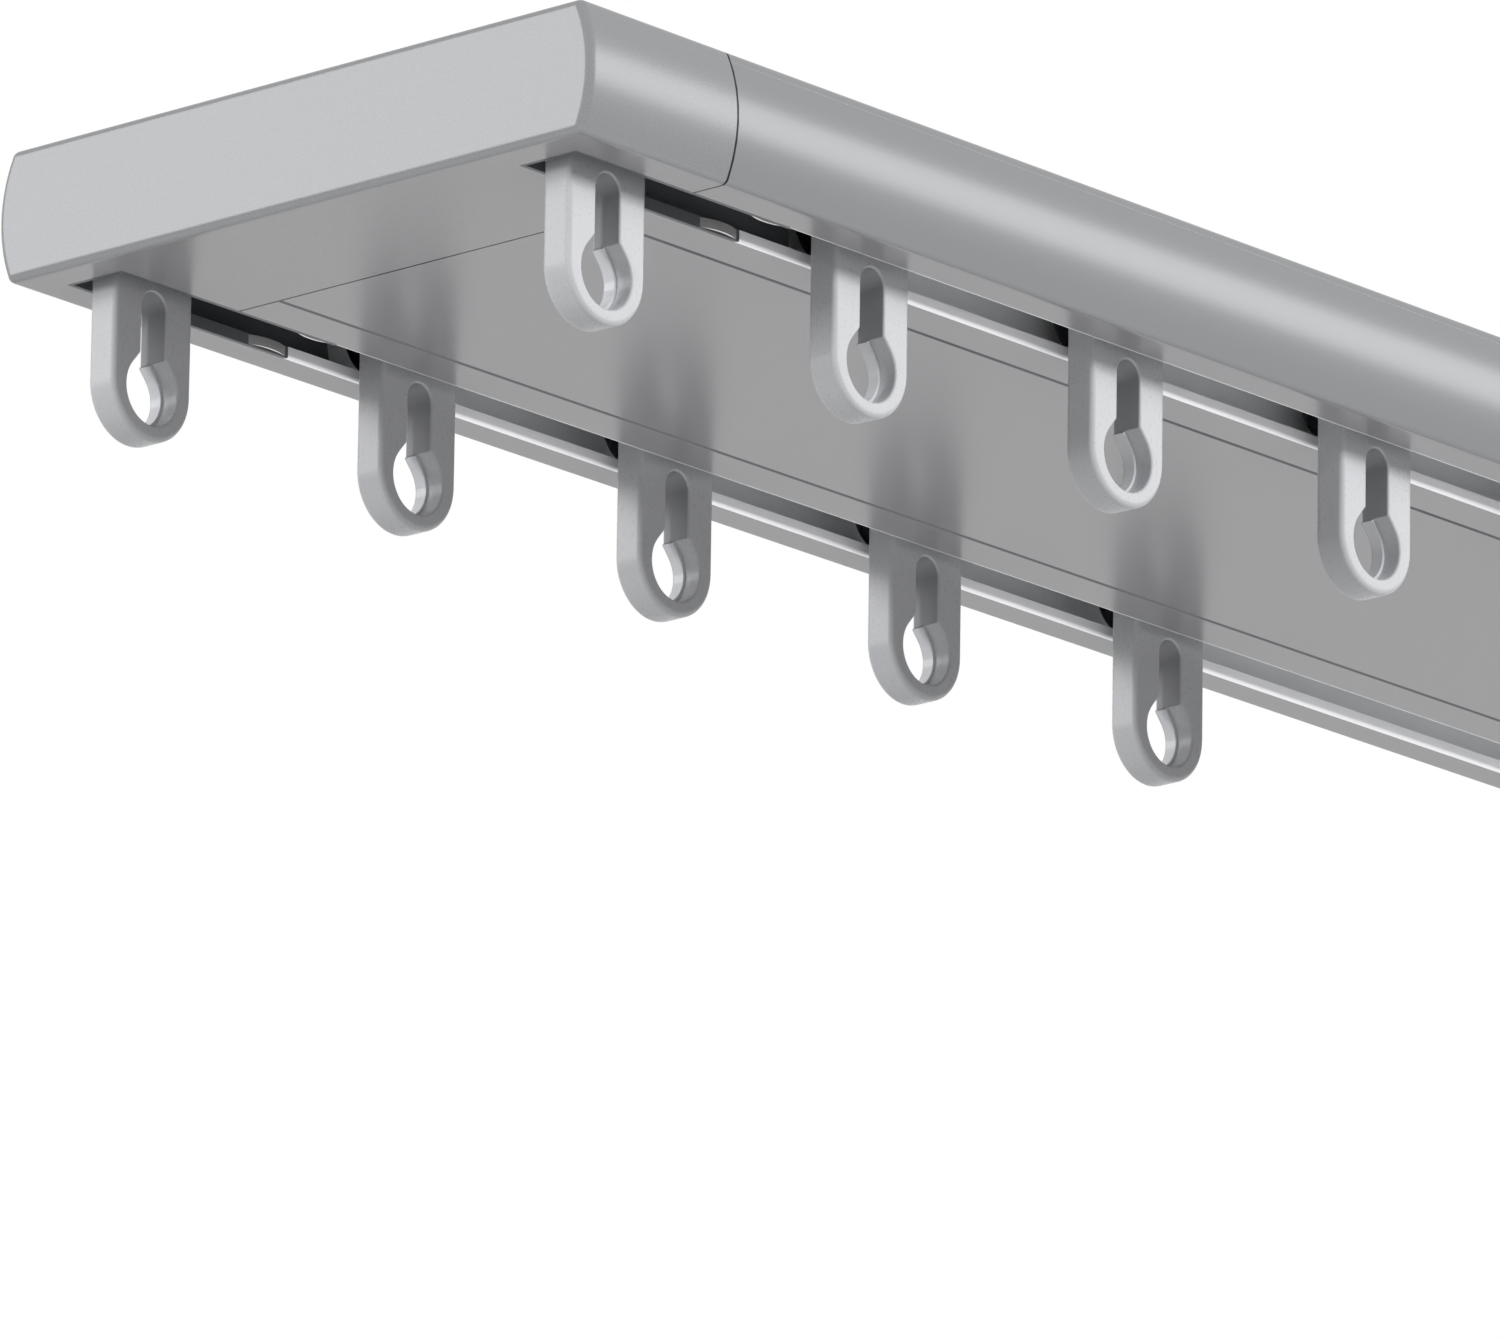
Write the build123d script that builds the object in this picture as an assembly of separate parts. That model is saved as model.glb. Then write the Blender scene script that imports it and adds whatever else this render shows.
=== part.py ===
"""Double curtain track, fixed under a ceiling, with two rows of wheeled curtain carriers.

X runs along the track, Y across it and Z up. The origin is the centre of the flat top
face, which lies against the ceiling. Everything is in millimetres.
"""

import os
from math import cos, radians, sin

from build123d import *

# Track as a whole
LENGTH = 500.0  # from one end face to the other
HEIGHT = 18.0  # underside to top face
ROW_SPACING = 79.5  # between the centres of the two slots
CAP_LENGTH = 28.0  # how much of each end is end cap

# Rounded sides, measured outwards from the centre of the nearer slot
SIDE_TOP = 10.05
SIDE_BULGE = 12.25  # the widest line of the side
SIDE_BOTTOM = 10.35
BULGE_HEIGHT = 10.0  # the widest line above the underside
CORNER_ROUND = 1.2

# Walls of the extruded rail
WALL = 1.6  # roof and rounded sides
LIP = 1.6  # floor of the channels, which the wheels run on
WEB = 1.5  # upright walls between the channels and the middle hollow
INNER_ROUND = 0.5  # inside corners of the channels
SLOT_ROUND = 0.5  # lower edges of the slots
SCREW_BAND = 2.6  # thicker roof along the centre line, for the ceiling screws
SCREW_BAND_HALF = 8.0

# Holes for the two ceiling screws
SCREW_FROM_END = 100.0
SCREW_HOLE = 3.8
SCREW_SINK = 7.0  # widest diameter of the countersink

# Strip that snaps in under the ceiling screws
COVER_LEDGE = 1.95  # rail's floor left inside each web, which the strip snaps on
COVER_THICKNESS = 1.5
COVER_GAP = 0.1  # between the strip's edge and the rail
COVER_BEVEL = 0.35  # the two bevels that make the fine line at each edge
COVER_LEG = 1.0
COVER_LEG_HEIGHT = 2.2
COVER_BARB = 0.6  # how far a leg's barb reaches over the ledge
SNAP_PLAY = 0.1  # between a barb and the ledge

# Carriers
CARRIERS = 5  # in each row
PITCH = 51.0
PARK_GAP = 1.1  # closed end of the slot to the first carrier
CARRIER_WIDTH = 14.6
CARRIER_THICKNESS = 4.7
CARRIER_DROP = 20.4  # how far a carrier hangs below the underside
HEAD_RISE = 4.8  # axle to the top of a carrier
SHOULDER_DROP = 4.0  # top of a carrier to the ends of its rounded top
CARRIER_BEVEL = 0.9
PAD_SIZE = 6.4  # square pads that space the wheels off the carrier
SLOT_PLAY = 1.9  # between a carrier and each edge of the slot

# Keyhole for the curtain hook
EYE_DIAMETER = 9.5
EYE_WALL = 2.1  # carrier left below the eye
EYE_SLANT = 50.0  # degrees from the top of the eye to where its shoulders leave it
KEY_WIDTH = 4.6
KEY_TOP_DROP = 0.2  # top of the keyhole below the underside

# Wheels and the pin that they turn on
WHEEL_DIAMETER = 12.0
WHEEL_WIDTH = 3.4
WHEEL_BEVEL = 0.9
WHEEL_GAP = 3.5  # middle of the carrier to a wheel's inner face
WHEEL_LIFT = 0.1  # running gap between a wheel and the lip
WHEEL_ROOM = 0.45  # between a wheel and the insert beside it
SIDE_PLAY = 0.1  # between a wheel and its pad
PIN_DIAMETER = 3.0
PIN_PLAY = 0.05  # between the pin and a wheel
PIN_SEAT = 0.02  # between the pin and the carrier that grips it
PIN_SPREAD = 0.45  # how far the pin's ends are spread to keep the wheels on

# Dark inserts that line the channels at the ends
LINER = 1.0
INSERT_FLOOR = 0.45
SLEEVE_REACH = 32.0  # past the seam between cap and rail
RIM = 0.6  # insert's edge along the slot
RIM_REACH = 19.0  # past the seam
FIT = 0.05  # between pieces pushed together by hand

# End caps
CAP_WALL = 1.6
CAP_ROUND = 1.1  # rounded rim of the end face
SLOT_END = 6.2  # end face to the closed end of the slot
CAP_RIB = 2.0  # ribs that plug into the middle hollow of the rail
CAP_RIB_REACH = 10.0
CAP_RIB_TALL = 9.0
CAP_RIB_DROP = 3.1  # top face to the top of a rib

# Countersunk screws that hold the inserts in the caps
CAP_SCREW_HEAD = 5.0
CAP_SCREW = 2.9
CAP_SCREW_LENGTH = 10.0
CROSS_LONG = 2.6
CROSS_WIDE = 0.6
CROSS_DEEP = 0.7

# Bent retaining springs on the inserts' rims
SPRING_LENGTH = 7.0
SPRING_RISE = 0.8
SPRING_THICKNESS = 0.3
SPRING_MARGIN = 0.15  # lip thickness left free above and below a spring
SPRING_TO_TIP = 0.6

# Places and sizes worked out from those above
UNDERSIDE = -HEIGHT
END = LENGTH / 2
SEAM = END - CAP_LENGTH
ROW_OFFSET = ROW_SPACING / 2
SLOT_HALF = CARRIER_THICKNESS / 2 + SLOT_PLAY
WHEEL_OUTER = WHEEL_GAP + WHEEL_WIDTH
CHANNEL_HALF = WHEEL_OUTER + WHEEL_ROOM + LINER + FIT
CHANNEL_INNER = ROW_OFFSET - CHANNEL_HALF
CENTRE_HALF = CHANNEL_INNER - WEB
MOUTH_HALF = CENTRE_HALF - COVER_LEDGE
CAP_FLOOR = LIP - INSERT_FLOOR - FIT
AXLE = LIP + WHEEL_DIAMETER / 2 + WHEEL_LIFT
FIRST_CARRIER = -END + SLOT_END + PARK_GAP + CARRIER_WIDTH / 2
BEYOND = 1.0  # how far cutting shapes run past what they cut


def section_plane(x):
    """Plane across the track at x. Its Y is height above the underside."""
    return Plane(origin=(x, 0, UNDERSIDE), x_dir=(0, 1, 0), z_dir=(1, 0, 0))


def along(face, start, end):
    """The solid a section makes between two places along the track."""
    return extrude(section_plane(start) * face, amount=end - start)


def slab(y_low, y_high, z_low, z_high):
    """Rectangle of a section, heights above the underside."""
    middle = Pos((y_low + y_high) / 2, (z_low + z_high) / 2)
    return middle * Rectangle(y_high - y_low, z_high - z_low)


def both_rows(face):
    """A section's face together with its mirror image on the other row."""
    return face + mirror(face, about=Plane.YZ)


def between_sides(inset=0.0):
    """The section's area between its rounded sides, or between lines inside them."""
    outwards = ROW_OFFSET - inset
    top, bulge, bottom = outwards + SIDE_TOP, outwards + SIDE_BULGE, outwards + SIDE_BOTTOM
    right = ThreePointArc((top, HEIGHT), (bulge, BULGE_HEIGHT), (bottom, 0))
    left = ThreePointArc((-bottom, 0), (-bulge, BULGE_HEIGHT), (-top, HEIGHT))
    roof = Line((-top, HEIGHT), (top, HEIGHT))
    underside = Line((bottom, 0), (-bottom, 0))
    return make_face([roof, right, underside, left])


def outline():
    """Outer line of the section, with its corners rounded."""
    face = between_sides()
    return fillet(face.vertices(), CORNER_ROUND)


def channel(inset=0.0, floor=LIP):
    """Hollow of the right-hand channel, or the shape that fits it with the inset all round."""
    beyond_side = ROW_OFFSET + SIDE_BULGE
    across = slab(CHANNEL_INNER + inset, beyond_side, floor + inset, HEIGHT - WALL - inset)
    return between_sides(WALL + inset) & across


def slot_plan(half_width, start, end):
    """Slot seen from above, on the track's centre line."""
    return Pos((start + end) / 2, 0) * Rectangle(end - start, 2 * half_width)


def upright(plan, row, low, high):
    """The solid a plan makes between two heights above the underside, in one row."""
    return extrude(Pos(0, row * ROW_OFFSET, UNDERSIDE + low) * plan, amount=high - low)


def at_end(side, piece):
    """A piece made for the end at +X, or its mirror image for the end at -X."""
    return piece if side > 0 else mirror(piece, about=Plane.YZ)


def rail_section():
    """Section of the extrusion: two slotted channels, and a hollow that opens downwards."""
    face = outline() - both_rows(fillet(channel().vertices(), INNER_ROUND))
    face -= slab(-CENTRE_HALF, CENTRE_HALF, LIP, HEIGHT - WALL)
    face += slab(-SCREW_BAND_HALF, SCREW_BAND_HALF, HEIGHT - SCREW_BAND, HEIGHT - WALL / 2)
    face -= slab(-MOUTH_HALF, MOUTH_HALF, 0, LIP)
    face -= both_rows(slab(ROW_OFFSET - SLOT_HALF, ROW_OFFSET + SLOT_HALF, 0, LIP))

    def lower_corners(place):
        low = face.vertices().group_by(Axis.Y)[0]
        return [corner for corner in low if abs(abs(corner.X) - place) < FIT]

    for edge in (ROW_OFFSET - SLOT_HALF, ROW_OFFSET + SLOT_HALF):
        face = fillet(lower_corners(edge), SLOT_ROUND)
    return chamfer(lower_corners(MOUTH_HALF), COVER_BEVEL)


def make_rail():
    """The aluminium rail, with its screw holes and with its lips cut back at the ends."""
    rail = along(rail_section(), -SEAM, SEAM)
    hole = Cylinder(SCREW_HOLE / 2, 2 * SCREW_BAND)
    depth = (SCREW_SINK - SCREW_HOLE) / 2
    sink = Pos(0, 0, depth / 2) * Cone(SCREW_SINK / 2, SCREW_HOLE / 2, depth)
    for side in (-1, 1):
        rail -= Pos(side * (END - SCREW_FROM_END), 0, -SCREW_BAND) * (hole + sink)
    notch = slot_plan(SLOT_HALF + RIM, SEAM - RIM_REACH, SEAM + BEYOND)
    notch = fillet(notch.vertices().group_by(Axis.X)[0], RIM)
    for row in (-1, 1):
        cut = upright(notch, row, -BEYOND, LIP + FIT / 2)
        for side in (-1, 1):
            rail -= at_end(side, cut)
    return rail


def make_cover_strip():
    """Strip that snaps in between the rows and hides the ceiling screws."""
    half = MOUTH_HALF - COVER_GAP
    plate = slab(-half, half, 0, COVER_THICKNESS)
    plate = chamfer(plate.vertices().group_by(Axis.Y)[0], COVER_BEVEL)
    outer = half - COVER_BARB
    barb_tip = MOUTH_HALF + COVER_BARB
    barb_low = LIP + SNAP_PLAY
    leg_top = COVER_THICKNESS + COVER_LEG_HEIGHT
    leg = Polyline(
        (outer - COVER_LEG, COVER_THICKNESS),
        (outer - COVER_LEG, leg_top),
        (outer, leg_top),
        (barb_tip, barb_low + COVER_BARB),
        (barb_tip, barb_low),
        (outer, barb_low),
        (outer, COVER_THICKNESS),
        close=True,
    )
    return along(plate + both_rows(make_face(leg)), -SEAM, SEAM)


def make_end_cap():
    """Moulded cap for the end at +X: a shell with three pockets, open towards the rail."""
    cap = along(outline(), SEAM, END)
    rim = cap.edges().filter_by(lambda edge: edge.center().X > END - FIT)
    cap = fillet(rim, min(CAP_ROUND, CORNER_ROUND - FIT))
    pocket_end = END - CAP_WALL
    pockets = both_rows(channel(floor=CAP_FLOOR))
    pockets += slab(-CENTRE_HALF, CENTRE_HALF, CAP_WALL, HEIGHT - CAP_WALL)
    cap -= along(pockets, SEAM, pocket_end)
    rib_inner = CENTRE_HALF - FIT - CAP_RIB
    rib_top = HEIGHT - CAP_RIB_DROP
    rib_low = rib_top - CAP_RIB_TALL
    cap += along(both_rows(slab(rib_inner, CENTRE_HALF, rib_low, rib_top)), SEAM, pocket_end)
    plug = slab(rib_inner, CENTRE_HALF - FIT, rib_low, rib_top)
    cap += along(both_rows(plug), SEAM - CAP_RIB_REACH, SEAM)
    opening = slot_plan(SLOT_HALF + RIM, SEAM - BEYOND, END - SLOT_END + RIM)
    for row in (-1, 1):
        cap -= upright(opening, row, -BEYOND, CAP_FLOOR + FIT / 2)
        cap -= cap_screw(row, FIT)
    return cap


def cap_screw_place(row):
    """Where a cap screw goes in: the top face, over the insert's end block."""
    return Pos(END - (CAP_WALL + SLOT_END) / 2, row * ROW_OFFSET, 0)


def cap_screw(row, play=0.0):
    """Body of a countersunk cap screw, or the hole that it goes in with some play."""
    sink_depth = (CAP_SCREW_HEAD - CAP_SCREW) / 2
    sink = Cone(CAP_SCREW / 2 + play, CAP_SCREW_HEAD / 2 + play, sink_depth)
    shank = Cylinder(CAP_SCREW / 2 + play, CAP_SCREW_LENGTH + play)
    screw = Pos(0, 0, -sink_depth / 2) * sink
    screw += Pos(0, 0, -(CAP_SCREW_LENGTH + play) / 2) * shank
    return cap_screw_place(row) * screw


def make_cap_screws():
    """The two countersunk screws of the cap at +X, flush with its top."""
    arm = Box(CROSS_LONG, CROSS_WIDE, 2 * CROSS_DEEP)
    cross = arm + Rot(0, 0, 90) * arm
    return [cap_screw(row) - cap_screw_place(row) * cross for row in (-1, 1)]


def insert_outside(floor):
    """Section that fills a channel above the floor, its corners clear of the rail's."""
    face = channel(FIT, floor)
    return chamfer(face.vertices(), INNER_ROUND)


def liner(floor):
    """Section of an insert's walls and roof, open below."""
    return insert_outside(floor) - channel(FIT + LINER, floor=-FIT - LINER)


def make_insert(row):
    """Dark insert of one channel, for the end at +X: end block, liner, floor and slot rim."""
    block_end = END - SLOT_END
    inside_cap = insert_outside(CAP_FLOOR)
    floor = inside_cap & slab(0, END, 0, LIP)
    piece = along(liner(LIP), SEAM - SLEEVE_REACH, SEAM + FIT)
    piece += along(liner(CAP_FLOOR) + floor, SEAM + FIT, block_end)
    piece += along(inside_cap, block_end, END - CAP_WALL - FIT)
    if row < 0:
        piece = mirror(piece, about=Plane.XZ)
    piece -= cap_screw(row, PIN_SEAT)
    rim_half = SLOT_HALF + RIM - FIT
    rim = slot_plan(rim_half, SEAM - RIM_REACH + FIT, block_end + RIM - FIT)
    rim = fillet(rim.vertices().group_by(Axis.X)[0], RIM - FIT)
    piece += upright(rim, row, 0, LIP)
    gap = slot_plan(SLOT_HALF, SEAM - RIM_REACH - BEYOND, block_end)
    return piece - upright(gap, row, -BEYOND, LIP + BEYOND)


def make_springs():
    """Bent leaf springs on the rims of the inserts at +X: two in each row."""
    foot = SPRING_LENGTH / 2
    inner_foot = foot - SPRING_THICKNESS
    outer = ThreePointArc((-foot, 0), (0, SPRING_RISE), (foot, 0))
    inner = ThreePointArc((inner_foot, 0), (0, SPRING_RISE - SPRING_THICKNESS), (-inner_foot, 0))
    feet = [Line((foot, 0), (inner_foot, 0)), Line((-inner_foot, 0), (-foot, 0))]
    bow = make_face([outer, feet[0], inner, feet[1]])
    x = SEAM - RIM_REACH + SPRING_TO_TIP + foot
    springs = []
    for row in (-1, 1):
        for edge in (-1, 1):
            plan = bow if edge < 0 else mirror(bow, about=Plane.XZ)
            plan = Pos(x, edge * SLOT_HALF) * plan
            springs.append(upright(plan, row, SPRING_MARGIN, LIP - SPRING_MARGIN))
    return springs


def keyhole():
    """Round eye with slanted shoulders that lead up into a narrow slot."""
    radius = EYE_DIAMETER / 2
    half = KEY_WIDTH / 2
    centre = EYE_WALL + radius
    slant = radians(EYE_SLANT)
    touch_x, touch_z = radius * sin(slant), centre + radius * cos(slant)
    neck_low = touch_z + (touch_x - half) * sin(slant) / cos(slant)
    neck_round = CARRIER_DROP - KEY_TOP_DROP - half
    shoulders = Polyline(
        (touch_x, touch_z), (half, neck_low), (-half, neck_low), (-touch_x, touch_z), close=True
    )
    neck = slab(-half, half, neck_low, neck_round)
    top = Pos(0, neck_round) * Circle(half)
    return Pos(0, centre) * Circle(radius) + make_face(shoulders) + neck + top


def make_carrier():
    """Flat hanger with a keyhole, bevelled edges and a pad on each side for the wheels."""
    half = CARRIER_WIDTH / 2
    axle = CARRIER_DROP + AXLE
    top = axle + HEAD_RISE
    shoulder = top - SHOULDER_DROP
    body = make_face(
        [
            ThreePointArc((-half, half), (0, 0), (half, half)),
            Line((half, half), (half, shoulder)),
            ThreePointArc((half, shoulder), (0, top), (-half, shoulder)),
            Line((-half, shoulder), (-half, half)),
        ]
    )
    upright_plane = Plane(origin=(0, 0, 0), x_dir=(1, 0, 0), z_dir=(0, -1, 0))
    carrier = extrude(upright_plane * body, amount=CARRIER_THICKNESS / 2, both=True)
    face_edges = carrier.edges().filter_by(lambda edge: abs(edge.center().Y) > FIT)
    carrier = chamfer(face_edges, CARRIER_BEVEL)
    carrier += Pos(0, 0, axle) * Box(PAD_SIZE, 2 * (WHEEL_GAP - SIDE_PLAY), PAD_SIZE)
    carrier -= extrude(upright_plane * keyhole(), amount=CARRIER_THICKNESS, both=True)
    bore = Cylinder(PIN_DIAMETER / 2 + PIN_SEAT, 2 * WHEEL_OUTER)
    carrier -= Pos(0, 0, axle) * Rot(90, 0, 0) * bore
    return Pos(0, 0, UNDERSIDE - CARRIER_DROP) * carrier


def make_pin():
    """Pin that both wheels turn on, its axis along Y and its ends spread."""
    radius = PIN_DIAMETER / 2
    spread = WHEEL_OUTER - PIN_SPREAD
    profile = Polyline(
        (0, -WHEEL_OUTER),
        (radius + PIN_SPREAD, -WHEEL_OUTER),
        (radius, -spread),
        (radius, spread),
        (radius + PIN_SPREAD, WHEEL_OUTER),
        (0, WHEEL_OUTER),
        close=True,
    )
    return Pos(0, 0, UNDERSIDE + AXLE) * revolve(make_face(profile), Axis.Y)


def make_wheel(side):
    """Bevelled wheel for one side of a carrier, countersunk for the pin's spread end."""
    bore = PIN_DIAMETER / 2 + PIN_PLAY
    rim = WHEEL_DIAMETER / 2
    profile = make_face(
        Polyline(
            (bore, WHEEL_GAP),
            (rim, WHEEL_GAP),
            (rim, WHEEL_OUTER),
            (bore + PIN_SPREAD, WHEEL_OUTER),
            (bore, WHEEL_OUTER - PIN_SPREAD),
            close=True,
        )
    )
    profile = chamfer(profile.vertices().group_by(Axis.X)[-1], WHEEL_BEVEL)
    wheel = Pos(0, 0, UNDERSIDE + AXLE) * revolve(profile, Axis.Y)
    return wheel if side > 0 else mirror(wheel, about=Plane.XZ)


def save(name, *pieces):
    """Write one node: a solid, or a group of separate solids."""
    solids = [solid for piece in pieces for solid in piece.solids()]
    node = solids[0] if len(solids) == 1 else Compound(children=solids)
    export_step(node, os.path.join("parts", name + ".step"))


os.makedirs("parts", exist_ok=True)
save("rail", make_rail())
save("cover_strip", make_cover_strip())

end_cap = make_end_cap()
cap_screws = make_cap_screws()
springs = make_springs()
inserts = {"near": make_insert(-1), "far": make_insert(1)}
for end_name, side in (("left", -1), ("right", 1)):
    save("end_cap_" + end_name, at_end(side, end_cap))
    save("cap_screws_" + end_name, *[at_end(side, screw) for screw in cap_screws])
    save("retaining_springs_" + end_name, *[at_end(side, spring) for spring in springs])
    for row_name, insert in inserts.items():
        save(row_name + "_insert_" + end_name, at_end(side, insert))

carrier = make_carrier()
pin = make_pin()
for row_name, row in (("near", -1), ("far", 1)):
    wheels = {"inner": make_wheel(-row), "outer": make_wheel(row)}
    for number in range(CARRIERS):
        place = Pos(FIRST_CARRIER + number * PITCH, row * ROW_OFFSET, 0)
        name = row_name + "_carrier_" + str(number + 1)
        save(name, place * carrier)
        save(name + "_pin", place * pin)
        for wheel_name, wheel in wheels.items():
            save(name + "_" + wheel_name + "_wheel", place * wheel)
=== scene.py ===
"""Looks of the double curtain track: finishes, rounded carriers, wheels, light and camera."""

import math

import bmesh
import bpy
from mathutils import Matrix, Vector


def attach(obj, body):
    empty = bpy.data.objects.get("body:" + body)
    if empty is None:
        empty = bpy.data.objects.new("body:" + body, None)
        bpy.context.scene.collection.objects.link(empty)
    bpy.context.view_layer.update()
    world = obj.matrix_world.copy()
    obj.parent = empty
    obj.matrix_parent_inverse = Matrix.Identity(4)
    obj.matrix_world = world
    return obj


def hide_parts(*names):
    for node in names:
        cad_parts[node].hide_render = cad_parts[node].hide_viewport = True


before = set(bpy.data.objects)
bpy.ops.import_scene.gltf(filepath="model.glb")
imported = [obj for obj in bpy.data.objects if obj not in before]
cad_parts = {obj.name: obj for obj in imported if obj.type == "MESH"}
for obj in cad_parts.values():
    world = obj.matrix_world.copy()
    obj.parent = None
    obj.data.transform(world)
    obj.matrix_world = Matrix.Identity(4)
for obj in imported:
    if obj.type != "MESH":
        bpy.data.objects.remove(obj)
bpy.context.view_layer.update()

# Rail: one aluminium extrusion with two slotted channels, etched and anodised a satin silver
# grey. Its flat underside is painted paler and less metallic, as painted light. The die leaves
# faint straight lines along it. The channels are painted near white inside, as painted light that
# lifts their shade, and a painted highlight runs along the lips of the slots.

MM = 0.001
ROW_OFFSET = 39.75 * MM  # middle of the track to the middle of each slot
SLOT_HALF = 4.25 * MM  # half the width of a slot
CHANNEL_SHIFT = 0.74 * MM  # the channel reaches further out than in from the slot
CHANNEL_HALF = 9.97 * MM  # the channel's middle to just past its walls
ROOF_DROP = 1.5 * MM  # top face to just above the channels' roof
LIP_TOP = 16.45 * MM  # top face to just below the channels' floor
UNDERSIDE_DROP = 17.95 * MM  # top face to just above the flat underside
LIP_BAND = 0.6 * MM  # width of the painted highlight on each side of a lip's edge
MOUTH_HALF = 27.85 * MM  # middle of the track to each edge of the cover strip
MOUTH_LINE = 0.4 * MM  # half the width of the line of painted shade there
SEAM = 222 * MM  # middle of the track to the seam between rail and cap
SEAM_LINE = 0.2 * MM  # half the width of the shadow line in the seam
TOP_SKIN = 0.1 * MM  # how far below the top face its matt finish ends
LINE_CORE = 0.93  # share of a line's width that has its full strength
GRAIN_LOW = 0.3  # nearly all of the noise lies between these two
GRAIN_HIGH = 0.7
GRAIN_DETAIL = 2.0
METAL_SPECULAR = 0.1  # shine of the clear layer, next to that of the metal
FULL_METALLIC = 1.0
MATT_ROUGHNESS = 0.7  # of the channels and of the top face
LIP_ROUGHNESS = 0.75
# Painted light: the flat underside is paler and less metallic
UNDERSIDE_METALLIC = 0.25
UNDERSIDE_PAINTED_LIGHT = "#AFAFB1"
# Painted light: near white inside the channels, which lifts their shade
CHANNEL_PAINTED_LIGHT = "#F0F1F2"
# Painted highlight along the lips of the slots
LIP_PAINTED_HIGHLIGHT = "#F2F2F3"
# Painted shade in the fine gap at each edge of the cover strip
GROOVE_PAINTED_SHADE = "#78787B"
SEAM_GREY = "#2E2E31"


def linear(hex_colour):
    """A colour written as sRGB hex, as the linear values that shaders take."""
    parts = [int(hex_colour[place : place + 2], 16) / 255 for place in (1, 3, 5)]
    return [p / 12.92 if p <= 0.04045 else ((p + 0.055) / 1.055) ** 2.4 for p in parts] + [1.0]


def add_node(tree, kind, settings=None, values=None, links=None):
    """Adds a node with its settings, its inputs' values and the links into its inputs."""
    made = tree.nodes.new(kind)
    for name, setting in (settings or {}).items():
        setattr(made, name, setting)
    for key, value in (values or {}).items():
        made.inputs[key].default_value = value
    for key, source in (links or {}).items():
        tree.links.new(source, made.inputs[key])
    return made.outputs[0]


def new_finish(name, hex_colour, metallic, roughness):
    """A material with its plain values set, its node tree and its shader."""
    material = bpy.data.materials.new(name)
    material.use_nodes = True
    shader = material.node_tree.nodes["Principled BSDF"]
    shader.inputs["Base Color"].default_value = linear(hex_colour)
    shader.inputs["Metallic"].default_value = metallic
    shader.inputs["Roughness"].default_value = roughness
    return material, material.node_tree, shader


def give_grain(tree, shader, size, drawn, roughness, depth):
    """Gives a finish its grain, sizes in mm: it wavers in roughness and stands in relief."""
    place = tree.nodes.new("ShaderNodeTexCoord").outputs["Object"]
    per_metre = [1 / (size * MM * along) for along in drawn]
    scaled = add_node(tree, "ShaderNodeMapping", None, {"Scale": per_metre}, {"Vector": place})
    noise = {"Scale": 1.0, "Detail": GRAIN_DETAIL}
    grain = add_node(tree, "ShaderNodeTexNoise", None, noise, {"Vector": scaled})
    least, most = roughness
    ends = {"From Min": GRAIN_LOW, "From Max": GRAIN_HIGH, "To Min": least, "To Max": most}
    rough = add_node(tree, "ShaderNodeMapRange", None, ends, {"Value": grain})
    relief = add_node(tree, "ShaderNodeBump", None, {"Distance": depth * MM}, {"Height": grain})
    tree.links.new(rough, shader.inputs["Roughness"])
    tree.links.new(relief, shader.inputs["Normal"])


def own_axes(tree):
    """How far a point is along the track, across it and above its top face."""
    place = tree.nodes.new("ShaderNodeTexCoord").outputs["Object"]
    axes = tree.nodes.new("ShaderNodeSeparateXYZ")
    tree.links.new(place, axes.inputs[0])
    return axes.outputs


def past_line(tree, place, line):
    """How far a place is outside a pair of lines, one on each side of the middle."""
    away = add_node(tree, "ShaderNodeMath", {"operation": "ABSOLUTE"}, None, {0: place})
    return add_node(tree, "ShaderNodeMath", {"operation": "SUBTRACT"}, {1: line}, {0: away})


def on_line(tree, past, half_width):
    """A mask that is 1 within half a width of the lines."""
    reach = add_node(tree, "ShaderNodeMath", {"operation": "ABSOLUTE"}, None, {0: past})
    core = LINE_CORE * half_width
    ends = {"From Min": core, "From Max": half_width, "To Min": 1.0, "To Max": 0.0}
    return add_node(tree, "ShaderNodeMapRange", None, ends, {"Value": reach})


def lay_over(tree, socket, mask, value):
    """Lays a colour or a number over what a shader's socket has, where a mask is 1."""
    coloured = socket.type == "RGBA"
    mix = tree.nodes.new("ShaderNodeMix")
    mix.data_type = "RGBA" if coloured else "FLOAT"
    first = 6 if coloured else 2
    if socket.is_linked:
        tree.links.new(socket.links[0].from_socket, mix.inputs[first])
    else:
        mix.inputs[first].default_value = socket.default_value
    mix.inputs[first + 1].default_value = value
    tree.links.new(mask, mix.inputs[0])
    tree.links.new(mix.outputs[2 if coloured else 0], socket)


def pale_underside(tree, shader, height):
    """Paints the flat underside paler and less like a mirror, as painted light."""
    limit = {1: -UNDERSIDE_DROP}
    flat = add_node(tree, "ShaderNodeMath", {"operation": "LESS_THAN"}, limit, {0: height})
    lay_over(tree, shader.inputs["Base Color"], flat, linear(UNDERSIDE_PAINTED_LIGHT))
    lay_over(tree, shader.inputs["Metallic"], flat, UNDERSIDE_METALLIC)


def seam_and_top(tree, shader, along, height):
    """Draws the shadow line in the seams between rail and caps, and makes the top face matt."""
    in_seam = on_line(tree, past_line(tree, along, SEAM), SEAM_LINE)
    lay_over(tree, shader.inputs["Base Color"], in_seam, linear(SEAM_GREY))
    limit = {1: -TOP_SKIN}
    on_top = add_node(tree, "ShaderNodeMath", {"operation": "GREATER_THAN"}, limit, {0: height})
    lay_over(tree, shader.inputs["Roughness"], on_top, MATT_ROUGHNESS)


def repaint(material, *names):
    """Gives CAD nodes one material all over."""
    for name in names:
        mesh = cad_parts[name].data
        mesh.materials.clear()
        mesh.materials.append(material)


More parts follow.
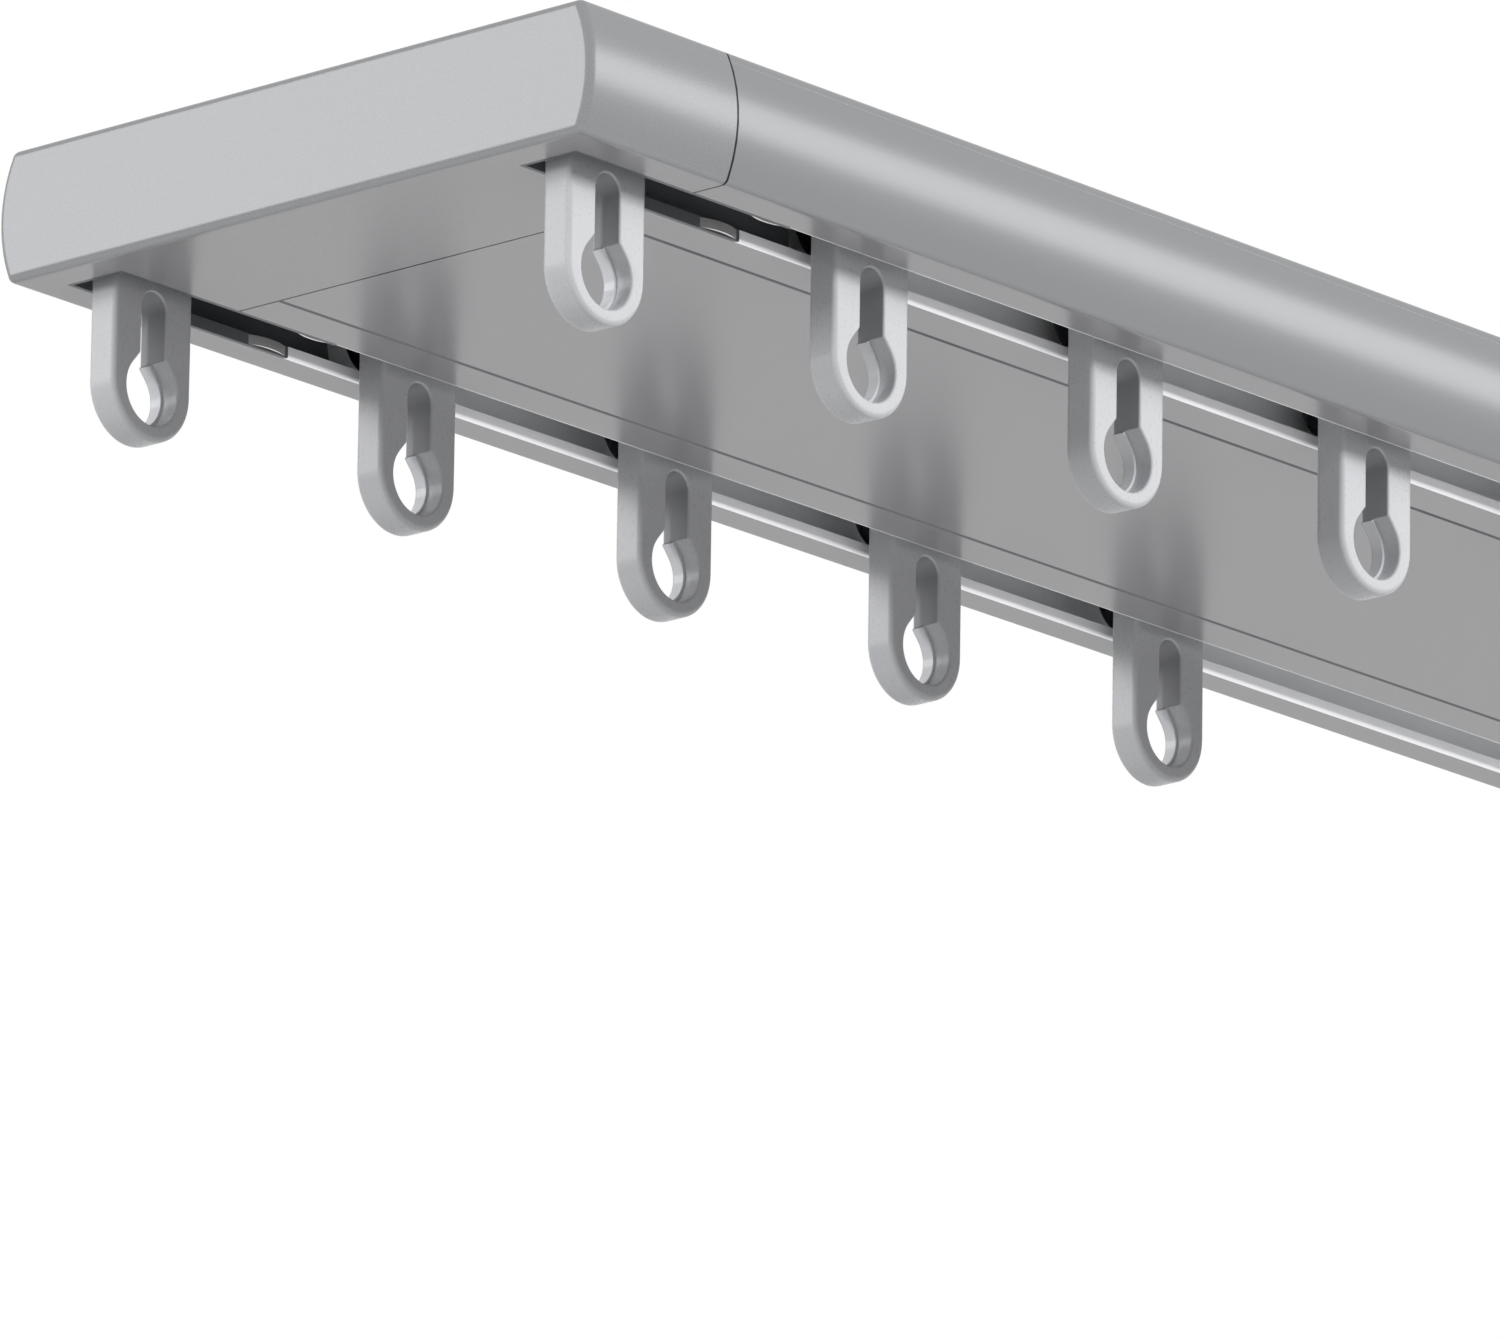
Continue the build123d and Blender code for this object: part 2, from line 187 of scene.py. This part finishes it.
anodised, tree, shader = new_finish("satin_anodised_aluminium", "#929395", metallic=0.4, roughness=0.26)
shader.inputs["Specular IOR Level"].default_value = METAL_SPECULAR
give_grain(tree, shader, size=0.4, drawn=(900, 1, 1), roughness=(0.253, 0.267), depth=0.00002)
along, across, height = own_axes(tree)
past_row = past_line(tree, across, ROW_OFFSET)
reach = {1: CHANNEL_SHIFT, 2: CHANNEL_HALF}
in_row = add_node(tree, "ShaderNodeMath", {"operation": "COMPARE"}, reach, {0: past_row})
under_roof = add_node(tree, "ShaderNodeMath", {"operation": "LESS_THAN"}, {1: -ROOF_DROP}, {0: height})
over_lip = add_node(tree, "ShaderNodeMath", {"operation": "GREATER_THAN"}, {1: -LIP_TOP}, {0: height})
levels = {0: under_roof, 1: over_lip}
between = add_node(tree, "ShaderNodeMath", {"operation": "MULTIPLY"}, None, levels)
in_channel = add_node(tree, "ShaderNodeMath", {"operation": "MULTIPLY"}, None, {0: in_row, 1: between})
# Painted light: the channels are painted near white inside, which lifts their shade
lay_over(tree, shader.inputs["Base Color"], in_channel, linear(CHANNEL_PAINTED_LIGHT))
lay_over(tree, shader.inputs["Roughness"], in_channel, MATT_ROUGHNESS)
lay_over(tree, shader.inputs["Metallic"], in_channel, FULL_METALLIC)
pale_underside(tree, shader, height)
at_edge = on_line(tree, past_line(tree, past_row, SLOT_HALF), LIP_BAND)
low = add_node(tree, "ShaderNodeMath", {"operation": "LESS_THAN"}, {1: -LIP_TOP}, {0: height})
on_lip_highlight = add_node(tree, "ShaderNodeMath", {"operation": "MULTIPLY"}, None, {0: at_edge, 1: low})
# Painted highlight along the lips of the slots
lay_over(tree, shader.inputs["Base Color"], on_lip_highlight, linear(LIP_PAINTED_HIGHLIGHT))
lay_over(tree, shader.inputs["Roughness"], on_lip_highlight, LIP_ROUGHNESS)
lay_over(tree, shader.inputs["Metallic"], on_lip_highlight, FULL_METALLIC)
at_mouth = on_line(tree, past_line(tree, across, MOUTH_HALF), MOUTH_LINE)
groove_shade = add_node(tree, "ShaderNodeMath", {"operation": "MULTIPLY"}, None, {0: at_mouth, 1: low})
# Painted shade in the fine gap at each edge of the cover strip
lay_over(tree, shader.inputs["Base Color"], groove_shade, linear(GROOVE_PAINTED_SHADE))
seam_and_top(tree, shader, along, height)
repaint(anodised, "rail")

# Cover strip: a second, thin extrusion in the same finish, with two barbed legs. It snaps in
# between the rows once the track is screwed to the ceiling, and leaves a fine gap at each edge,
# drawn as a line of painted shade.

repaint(anodised, "cover_strip")

# Inserts: moulded in dark grey nylon filled with glass fibre, which leaves a matt, pitted grain.
# They slide into the channels from the ends, and their rims edge the slots.

nylon, tree, shader = new_finish("moulded_nylon", "#6C6E71", metallic=0.0, roughness=0.45)
give_grain(tree, shader, size=0.25, drawn=(1, 1, 1), roughness=(0.42, 0.58), depth=0.01)
repaint(nylon, *[f"{row}_insert_{end}" for row in ("near", "far") for end in ("left", "right")])

# Cap screws: countersunk steel screws, plated with bright zinc, which mottles slightly. They are
# driven in from above and hold the inserts in the end caps.

steel, tree, shader = new_finish("zinc_plated_steel", "#B4B5B8", metallic=1.0, roughness=0.4)
give_grain(tree, shader, size=0.5, drawn=(1, 1, 1), roughness=(0.34, 0.46), depth=0.0005)
repaint(steel, "cap_screws_left", "cap_screws_right")

# Retaining springs: short strips of bright rolled spring steel, cut and bent to a low arch. They
# sit on the rims of the inserts, and the carriers pass between them.

strip_steel, tree, shader = new_finish("rolled_spring_steel", "#EDEDEE", metallic=0.8, roughness=0.4)
give_grain(tree, shader, size=0.3, drawn=(1, 8, 1), roughness=(0.34, 0.46), depth=0.002)
repaint(strip_steel, "retaining_springs_left", "retaining_springs_right")

# End caps: moulded in ABS and lacquered in the colour of the rail. Metal flake in the lacquer
# scatters the light a little more than the metal does. Ribs plug them into the rail.

lacquered, tree, shader = new_finish("lacquered_ABS", "#949597", metallic=0.4, roughness=0.27)
shader.inputs["Specular IOR Level"].default_value = METAL_SPECULAR
give_grain(tree, shader, size=0.09, drawn=(1, 1, 1), roughness=(0.262, 0.278), depth=0.00005)
along, across, height = own_axes(tree)
# Painted light: the cap's flat underside is paler, as the rail's is
pale_underside(tree, shader, height)
seam_and_top(tree, shader, along, height)
repaint(lacquered, "end_cap_left", "end_cap_right")

# Carriers: flat hangers moulded in light grey acetal, which leaves the mould smooth and
# half glossy, with rounded edges. The slot of the keyhole is matt and painted darker, as painted
# shade, the back of its eye is glossy and painted lighter, as a painted highlight, and a square
# pad on each side spaces the wheels.

# Sizes in mm, heights from the top face of the track
CARRIER_HALF_WIDTH = 7.3
CARRIER_HALF_THICK = 2.35
CARRIER_TOP = -5.5
CARRIER_BOTTOM = -38.4
CARRIER_SHOULDER = -9.5
EDGE_ROUND = 0.75
HOLE_ROUND = 0.3
LEDGE = 0.4  # how far the back of the eye comes in, all round
LEDGE_AT = 0.35  # where it does so, behind the middle of the thickness
EYE_RADIUS = 4.75
EYE_CENTRE = -31.55
EYE_SLANT = math.radians(50)  # from straight up to where a slanted wall leaves the eye
KEY_HALF = 2.3
KEY_ROUND_CENTRE = -20.5
AXLE = -10.3
PAD_HALF = 3.2
PAD_REACH = 3.4
PAD_BEVEL = 0.3
FIRST_CARRIER = -235.4
PITCH = 51.0
ROW_LENGTH = 5  # carriers in each row
WELD = 0.001  # points closer than this become one
SLIVER = 0.0005  # edges shorter than this go

# Straight steps that stand for each arc, and the bend past which an edge stays sharp
ROUND_STEPS = 5
BOTTOM_STEPS = 32
TOP_STEPS = 12
CORNER_STEPS = 3
KEY_STEPS = 12
EYE_STEPS = 40
CARRIER_CREASE = math.radians(35)

acetal, tree, shader = new_finish("moulded_acetal", "#C0C1C4", metallic=0.0, roughness=0.28)
give_grain(tree, shader, size=0.5, drawn=(1, 1, 1), roughness=(0.27, 0.29), depth=0.00003)
# Painted shade on the walls of the keyhole's slot, and a painted highlight on the back of its eye
slot_shade, tree, shader = new_finish("slot_shaded_acetal", "#98999C", metallic=0.0, roughness=0.5)
give_grain(tree, shader, size=0.3, drawn=(1, 1, 1), roughness=(0.48, 0.52), depth=0.0001)
eye_highlight, tree, shader = new_finish("eye_highlit_acetal", "#DCDDE0", metallic=0.0, roughness=0.15)
give_grain(tree, shader, size=0.5, drawn=(1, 1, 1), roughness=(0.14, 0.16), depth=0.00003)
carrier_finishes = (acetal, slot_shade, eye_highlight)
keyhole_finishes = (1, 0, 2)  # which of them: the slot, then the front and back of the eye


def carrier_outline():
    """Core of the carrier's outline: points, the ways its rounded edge swells, and no eye."""
    points = []
    radius = CARRIER_HALF_WIDTH - EDGE_ROUND
    for step in range(BOTTOM_STEPS + 1):
        turn = math.pi * (step / BOTTOM_STEPS - 1)
        way = (math.cos(turn), math.sin(turn))
        place = (radius * way[0], CARRIER_BOTTOM + CARRIER_HALF_WIDTH + radius * way[1])
        points.append((place, way, 0))
    rise = CARRIER_TOP - CARRIER_SHOULDER
    top_radius = (CARRIER_HALF_WIDTH**2 + rise**2) / (2 * rise)
    core = top_radius - EDGE_ROUND
    corner = math.acos(radius / core)
    arc = math.pi - 2 * corner
    turns = [corner * step / CORNER_STEPS for step in range(CORNER_STEPS)]
    turns += [corner + arc * step / TOP_STEPS for step in range(TOP_STEPS + 1)]
    turns += [math.pi - corner + corner * step / CORNER_STEPS for step in range(1, CORNER_STEPS + 1)]
    for turn in turns:
        on_arc = min(max(turn, corner), math.pi - corner)
        place = (core * math.cos(on_arc), CARRIER_TOP - top_radius + core * math.sin(on_arc))
        points.append((place, (math.cos(turn), math.sin(turn)), 0))
    return points


def keyhole_outline():
    """The keyhole's outline grown by its rounded edge: points, ways into it, and 1 for the eye."""
    points = []
    radius, half = EYE_RADIUS + HOLE_ROUND, KEY_HALF + HOLE_ROUND
    low = EYE_CENTRE + radius * math.cos(EYE_SLANT)
    low += (radius * math.sin(EYE_SLANT) - half) * math.tan(EYE_SLANT)
    spread = math.pi / 2 - EYE_SLANT
    fan = [math.pi + spread * (1 - step / CORNER_STEPS) for step in range(CORNER_STEPS + 1)]
    points.append(((half, low), (math.cos(fan[0]), math.sin(fan[0])), 1))
    for turn in fan:
        points.append(((half, low), (math.cos(turn), math.sin(turn)), 0))
    for step in range(KEY_STEPS + 1):
        turn = math.pi * step / KEY_STEPS
        way = (math.cos(turn), math.sin(turn))
        points.append(((half * way[0], KEY_ROUND_CENTRE + half * way[1]), (-way[0], -way[1]), 0))
    for turn in reversed(fan):
        points.append(((-half, low), (-math.cos(turn), math.sin(turn)), 0))
    points.append(((-half, low), (-math.cos(fan[0]), math.sin(fan[0])), 1))
    for step in range(EYE_STEPS + 1):
        turn = -EYE_SLANT - (2 * math.pi - 2 * EYE_SLANT) * step / EYE_STEPS
        way = (math.sin(turn), math.cos(turn))
        points.append(((radius * way[0], EYE_CENTRE + radius * way[1]), (-way[0], -way[1]), 1))
    return points


def sweep_edge(mesh, points, rounding, ledge=0.0, finishes=(0, 0, 0)):
    """Carries an outline through the carrier's thickness, with rounded edges and a ledge inside."""
    quarter = [math.pi / 2 * step / ROUND_STEPS for step in range(ROUND_STEPS + 1)]
    flat = CARRIER_HALF_THICK - rounding
    profile = [(rounding * math.sin(turn), 0.0, -flat - rounding * math.cos(turn)) for turn in quarter]
    if ledge:
        profile += [(rounding, 0.0, LEDGE_AT), (rounding, ledge, LEDGE_AT)]
    back = [(rounding * math.cos(turn), ledge, flat + rounding * math.sin(turn)) for turn in quarter]
    profile += back
    rings = []
    for out, step, y in profile:
        ring = []
        for place, way, in_eye in points:
            reach = out + step * in_eye
            ring.append(mesh.verts.new((place[0] + reach * way[0], y, place[1] + reach * way[1])))
        rings.append(ring)
    wall_levels = range(ROUND_STEPS, len(rings) - 1 - ROUND_STEPS)
    for level, (low, high) in enumerate(zip(rings, rings[1:])):
        for side in range(len(points)):
            after = (side + 1) % len(points)
            face = mesh.faces.new((low[side], low[after], high[after], high[side]))
            in_eye = min(points[side][2], points[after][2])
            zone = 2 if in_eye and level > ROUND_STEPS else in_eye
            face.material_index = finishes[zone] if level in wall_levels else 0


def carrier_shape():
    """The carrier with its keyhole and pads, in mm, about its own middle."""
    mesh = bmesh.new()
    sweep_edge(mesh, carrier_outline(), EDGE_ROUND)
    sweep_edge(mesh, keyhole_outline(), HOLE_ROUND, LEDGE, keyhole_finishes)
    bmesh.ops.remove_doubles(mesh, verts=mesh.verts, dist=WELD)
    bmesh.ops.dissolve_degenerate(mesh, edges=mesh.edges, dist=SLIVER)
    open_edges = [edge for edge in mesh.edges if edge.is_boundary]
    for side in (-1, 1):
        face_edges = [edge for edge in open_edges if side * edge.verts[0].co.y > 0]
        bmesh.ops.triangle_fill(mesh, edges=face_edges, use_beauty=True)
    size = Matrix.Diagonal((2 * PAD_HALF, 2 * PAD_REACH, 2 * PAD_HALF, 1))
    pad = bmesh.ops.create_cube(mesh, size=1, matrix=Matrix.Translation((0, 0, AXLE)) @ size)
    pad_edges = list({edge for corner in pad["verts"] for edge in corner.link_edges})
    bmesh.ops.bevel(mesh, geom=pad_edges, offset=PAD_BEVEL, segments=2, profile=0.5, affect="EDGES")
    bmesh.ops.recalc_face_normals(mesh, faces=mesh.faces)
    return mesh


def carrier_places():
    """Each carrier's name, its row's sign across the track, and its middle in mm."""
    for row, sign in (("near", -1), ("far", 1)):
        for number in range(ROW_LENGTH):
            middle = Vector((FIRST_CARRIER + number * PITCH, sign * ROW_OFFSET / MM, 0))
            yield f"{row}_carrier_{number + 1}", sign, middle


shape = carrier_shape()
for name, sign, middle in carrier_places():
    mesh = bpy.data.meshes.new(name + "_moulding")
    shape.to_mesh(mesh)
    mesh.transform(Matrix.Scale(MM, 4) @ Matrix.Translation(middle))
    mesh.shade_smooth()
    mesh.set_sharp_from_angle(angle=CARRIER_CREASE)
    for finish in carrier_finishes:
        mesh.materials.append(finish)
    moulding = bpy.data.objects.new(name + "_moulding", mesh)
    bpy.context.scene.collection.objects.link(moulding)
    even = moulding.modifiers.new("even", "WEIGHTED_NORMAL")
    even.keep_sharp = True
    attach(moulding, name)
    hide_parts(name)
shape.free()

# Wheels and pins: the wheels are black acetal, turned or moulded with a round polished tread, a
# groove and a duller sunk disc. The steel pin goes through carrier and wheels, and its ends are
# riveted over to keep them on.

TURNED_SEGMENTS = 48
TURNED_CREASE = math.radians(50)  # edges that bend more than this stay sharp
PATH_RADIUS = 1.0 * MM  # of the circle that a section is swept round
DISC_RADIUS = 4.6 * MM  # of the duller disc inside a wheel's groove

# Distances from the axle and from the carrier's middle, in mm
WHEEL_SECTION = [
    (1.55, 3.5), (4.9, 3.5), (5.35, 3.6), (5.7, 3.84), (5.92, 4.2), (6.0, 4.65), (6.0, 5.75),
    (5.92, 6.2), (5.7, 6.56), (5.35, 6.8), (4.95, 6.9), (4.74, 6.86), (4.62, 6.7), (4.55, 6.45),
    (4.42, 6.38), (3.2, 6.38), (3.08, 6.44), (3.0, 6.66), (2.88, 6.74), (2.2, 6.74),
    (2.06, 6.7), (1.6, 6.4), (1.55, 6.3),
]
PIN_HALF_SECTION = [
    (1.5, 6.35), (1.62, 6.46), (1.9, 6.62), (1.95, 6.74), (1.88, 6.84), (1.7, 6.89), (0, 6.9),
]

tread_black, tree, shader = new_finish("polished_acetal", "#15161A", metallic=0.0, roughness=0.2)
give_grain(tree, shader, size=0.6, drawn=(1, 1, 1), roughness=(0.16, 0.24), depth=0.001)
disc_grey, tree, shader = new_finish("sparked_acetal", "#3F4144", metallic=0.0, roughness=0.45)
give_grain(tree, shader, size=0.12, drawn=(1, 1, 1), roughness=(0.4, 0.52), depth=0.003)

turned = bpy.data.node_groups.new("turned_piece", "GeometryNodeTree")
turned.interface.new_socket("Section", in_out="INPUT", socket_type="NodeSocketGeometry")
for label, kind in (
    ("Segments", "NodeSocketInt"),
    ("Path Radius", "NodeSocketFloat"),
    ("Disc Radius", "NodeSocketFloat"),
    ("Turn", "NodeSocketVector"),
    ("Place", "NodeSocketVector"),
    ("Tread", "NodeSocketMaterial"),
    ("Disc", "NodeSocketMaterial"),
):
    turned.interface.new_socket(label, in_out="INPUT", socket_type=kind)
turned.interface.new_socket("Piece", in_out="OUTPUT", socket_type="NodeSocketGeometry")
given = turned.nodes.new("NodeGroupInput").outputs
section = add_node(turned, "GeometryNodeMeshToCurve", links={0: given["Section"]})
size_links = {"Resolution": given["Segments"], "Radius": given["Path Radius"]}
circle = add_node(turned, "GeometryNodeCurvePrimitiveCircle", links=size_links)
path = add_node(turned, "GeometryNodeSetCurveNormal", {"mode": "Z_UP"}, links={0: circle})
swept = add_node(turned, "GeometryNodeCurveToMesh", links={"Curve": path, "Profile Curve": section})
closed = add_node(turned, "GeometryNodeMergeByDistance", None, {"Distance": WELD * MM}, {0: swept})
smooth = add_node(turned, "GeometryNodeSetShadeSmooth", {"domain": "FACE"}, None, {0: closed})
angle = add_node(turned, "GeometryNodeInputMeshEdgeAngle")
crease = {1: TURNED_CREASE}
sharp = add_node(turned, "FunctionNodeCompare", {"operation": "GREATER_THAN"}, crease, {0: angle})
edge_links = {0: smooth, "Selection": sharp}
not_smooth = {"Shade Smooth": False}
edged = add_node(turned, "GeometryNodeSetShadeSmooth", {"domain": "EDGE"}, not_smooth, edge_links)
turn_links = {0: edged, "Translation": given["Place"], "Rotation": given["Turn"]}
placed = add_node(turned, "GeometryNodeTransform", links=turn_links)
real = add_node(turned, "GeometryNodeRealizeInstances", links={0: placed})
spot = add_node(turned, "GeometryNodeInputPosition")
arm_links = {0: spot, 1: given["Place"]}
arm = add_node(turned, "ShaderNodeVectorMath", {"operation": "SUBTRACT"}, None, arm_links)
across = add_node(turned, "ShaderNodeVectorMath", {"operation": "MULTIPLY"}, {1: (1, 0, 1)}, {0: arm})
length = turned.nodes.new("ShaderNodeVectorMath")
length.operation = "LENGTH"
turned.links.new(across, length.inputs[0])
disc_edge = {0: length.outputs["Value"], 1: given["Disc Radius"]}
inside = add_node(turned, "FunctionNodeCompare", {"operation": "LESS_THAN"}, None, disc_edge)
all_over = add_node(turned, "GeometryNodeSetMaterial", links={0: real, "Material": given["Tread"]})
disc_links = {0: all_over, "Selection": inside, "Material": given["Disc"]}
finished = add_node(turned, "GeometryNodeSetMaterial", links=disc_links)
turned.links.new(finished, turned.nodes.new("NodeGroupOutput").inputs[0])


def turned_piece(name, section, inputs):
    """A closed section swept round the axle by the tree, as a plain mesh in its place."""
    outline = bpy.data.meshes.new(name + "_section")
    corners = [(radius * MM - PATH_RADIUS, out * MM, 0) for radius, out in section]
    count = len(corners)
    outline.from_pydata(corners, [(i, (i + 1) % count) for i in range(count)], [])
    piece = bpy.data.objects.new(name, outline)
    bpy.context.scene.collection.objects.link(piece)
    modifier = piece.modifiers.new("turned", "NODES")
    modifier.node_group = turned
    for socket in turned.interface.items_tree:
        if socket.in_out == "INPUT" and socket.name in inputs:
            modifier[socket.identifier] = inputs[socket.name]
    ready = piece.evaluated_get(bpy.context.evaluated_depsgraph_get())
    piece.data = bpy.data.meshes.new_from_object(ready)
    piece.modifiers.remove(modifier)
    bpy.data.meshes.remove(outline)
    return piece


pin_section = [(radius, -out) for radius, out in reversed(PIN_HALF_SECTION)] + PIN_HALF_SECTION
for name, sign, middle in carrier_places():
    axle = tuple((middle + Vector((0, 0, AXLE))) * MM)
    common = {"Segments": TURNED_SEGMENTS, "Path Radius": PATH_RADIUS, "Place": axle}
    towards_far = (math.pi / 2, 0.0, 0.0)
    pin_inputs = {"Disc Radius": 0.0, "Turn": towards_far, "Tread": steel, "Disc": steel}
    pin = turned_piece(name + "_rivet", pin_section, common | pin_inputs)
    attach(pin, name)
    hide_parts(name + "_pin")
    for wheel_name, facing in (("inner_wheel", -sign), ("outer_wheel", sign)):
        turn = (facing * math.pi / 2, 0.0, 0.0)
        finishes = {"Tread": tread_black, "Disc": disc_grey}
        wheel_inputs = {"Disc Radius": DISC_RADIUS, "Turn": turn} | finishes
        wheel = turned_piece(f"{name}_{wheel_name}_turned", WHEEL_SECTION, common | wheel_inputs)
        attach(wheel, f"{name}_{wheel_name}")
        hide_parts(f"{name}_{wheel_name}")

# Floor and room: a plain pale sheet well below the track, which is a ceiling fitting and is seen
# from below, in a white room. The sheet is clear from underneath, so that low views pass it.

FLOOR_DROP = 1.0
FLOOR_HALF = 14.0
FLOOR_GLOW = 0.72  # makes the sheet nearly white where it is looked at
ROOM_LIGHT = 0.38  # how strongly the room lights the track
ROOM_SEEN = 1.0  # and how bright it is where it is looked at or mirrored
WHITE = (1, 1, 1, 1)

corner_signs = ((-1, -1), (1, -1), (1, 1), (-1, 1))
corners = [(x * FLOOR_HALF, y * FLOOR_HALF, -FLOOR_DROP) for x, y in corner_signs]
floor_mesh = bpy.data.meshes.new("floor")
floor_mesh.from_pydata(corners, [], [(0, 1, 2, 3)])
floor = bpy.data.objects.new("floor", floor_mesh)
bpy.context.scene.collection.objects.link(floor)
paper, tree, shader = new_finish("floor_paper", "#C8C8C8", metallic=0.0, roughness=0.9)
shader.inputs["Specular IOR Level"].default_value = 0.0
ray = tree.nodes.new("ShaderNodeLightPath").outputs
look_links = {0: ray["Is Camera Ray"], 1: ray["Is Glossy Ray"]}
looked_at = add_node(tree, "ShaderNodeMath", {"operation": "MAXIMUM"}, None, look_links)
lift = add_node(tree, "ShaderNodeEmission", None, {"Color": WHITE, "Strength": FLOOR_GLOW})
lifted = add_node(tree, "ShaderNodeAddShader", links={0: shader.outputs[0], 1: lift})
seen = add_node(tree, "ShaderNodeMixShader", links={0: looked_at, 1: shader.outputs[0], 2: lifted})
below = tree.nodes.new("ShaderNodeNewGeometry").outputs["Backfacing"]
clear = add_node(tree, "ShaderNodeBsdfTransparent")
sheet = add_node(tree, "ShaderNodeMixShader", links={0: below, 1: seen, 2: clear})
tree.links.new(sheet, tree.nodes["Material Output"].inputs["Surface"])
floor_mesh.materials.append(paper)

room = bpy.data.worlds.new("white_room")
bpy.context.scene.world = room
room.use_nodes = True
tree = room.node_tree
ray = tree.nodes.new("ShaderNodeLightPath").outputs
mirror_links = {0: ray["Is Glossy Ray"], 1: ray["Is Transmission Ray"]}
mirrored = add_node(tree, "ShaderNodeMath", {"operation": "MAXIMUM"}, None, mirror_links)
look_links = {0: ray["Is Camera Ray"], 1: mirrored}
looked_at = add_node(tree, "ShaderNodeMath", {"operation": "MAXIMUM"}, None, look_links)
soft = add_node(tree, "ShaderNodeBackground", None, {"Color": WHITE, "Strength": ROOM_LIGHT})
white = add_node(tree, "ShaderNodeBackground", None, {"Color": WHITE, "Strength": ROOM_SEEN})
walls = add_node(tree, "ShaderNodeMixShader", links={0: looked_at, 1: soft, 2: white})
tree.links.new(walls, tree.nodes["World Output"].inputs["Surface"])

# Lamps: a soft one in front of the near row and two beyond the near end light the carriers, and
# a wide strip and a broad panel are mirrored in the rounded side and in the end face.

LAMP_AIM = Vector((-0.15, 0.0, -0.02))


def hang_lamp(name, toward, distance, size, power, mirrored):
    """A soft lamp that faces the near end of the track, mirrored in its metal or not."""
    data = bpy.data.lights.new(name, "AREA")
    data.shape = "RECTANGLE"
    data.size, data.size_y = size
    data.energy = power
    lamp = bpy.data.objects.new(name, data)
    bpy.context.scene.collection.objects.link(lamp)
    direction = Vector(toward).normalized()
    lamp.location = LAMP_AIM + direction * distance
    lamp.rotation_euler = direction.to_track_quat("Z", "Y").to_euler()
    lamp.visible_camera = False
    lamp.visible_glossy = mirrored


# Name, direction from the near end, distance and size in metres, power in watts, mirrored or not
hang_lamp("row_lamp", (0.0, -0.94, 0.33), 2.4, (1.2, 0.5), 35, False)
hang_lamp("side_lamp", (-0.95, 0.05, 0.32), 2.4, (0.9, 0.4), 6, False)
hang_lamp("back_lamp", (-0.95, 0.27, 0.16), 2.4, (0.3, 0.3), 18, False)
hang_lamp("band_lamp", (0.70, -0.64, 0.33), 2.6, (3.0, 0.8), 17, True)
hang_lamp("face_panel", (-0.70, 0.64, 0.30), 2.4, (1.1, 0.9), 7.9, True)

# Camera: below the near end and in front of it, with a long lens, looking up along the track.
# Its place and its lens come from the straight edges of the track in the photo.

CAMERA_AZIMUTH = math.radians(-48.132)
CAMERA_ELEVATION = math.radians(-16.422)
CAMERA_ROLL = math.radians(0.852)
CAMERA_DISTANCE = 2.388
CAMERA_TARGET = Vector((-0.16011, 0.0, -0.05892))
FOCAL_PIXELS = 18219
PHOTO_WIDTH = 1500
SENSOR_WIDTH = 36

side, ahead = math.sin(CAMERA_AZIMUTH), math.cos(CAMERA_AZIMUTH)
level = math.cos(CAMERA_ELEVATION)
forward = Vector((-side * level, ahead * level, -math.sin(CAMERA_ELEVATION)))
right = Vector((ahead, side, 0))
up = right.cross(forward)
roll = Matrix.Rotation(-CAMERA_ROLL, 3, forward)
right, up = roll @ right, roll @ up
lens = bpy.data.cameras.new("camera")
lens.sensor_width = SENSOR_WIDTH
lens.lens = SENSOR_WIDTH * FOCAL_PIXELS / PHOTO_WIDTH
camera = bpy.data.objects.new("camera", lens)
bpy.context.scene.collection.objects.link(camera)
turn = Matrix((right, up, -forward)).transposed().to_4x4()
camera.matrix_world = Matrix.Translation(CAMERA_TARGET - forward * CAMERA_DISTANCE) @ turn
bpy.context.scene.camera = camera
bpy.context.scene.view_settings.view_transform = "Standard"
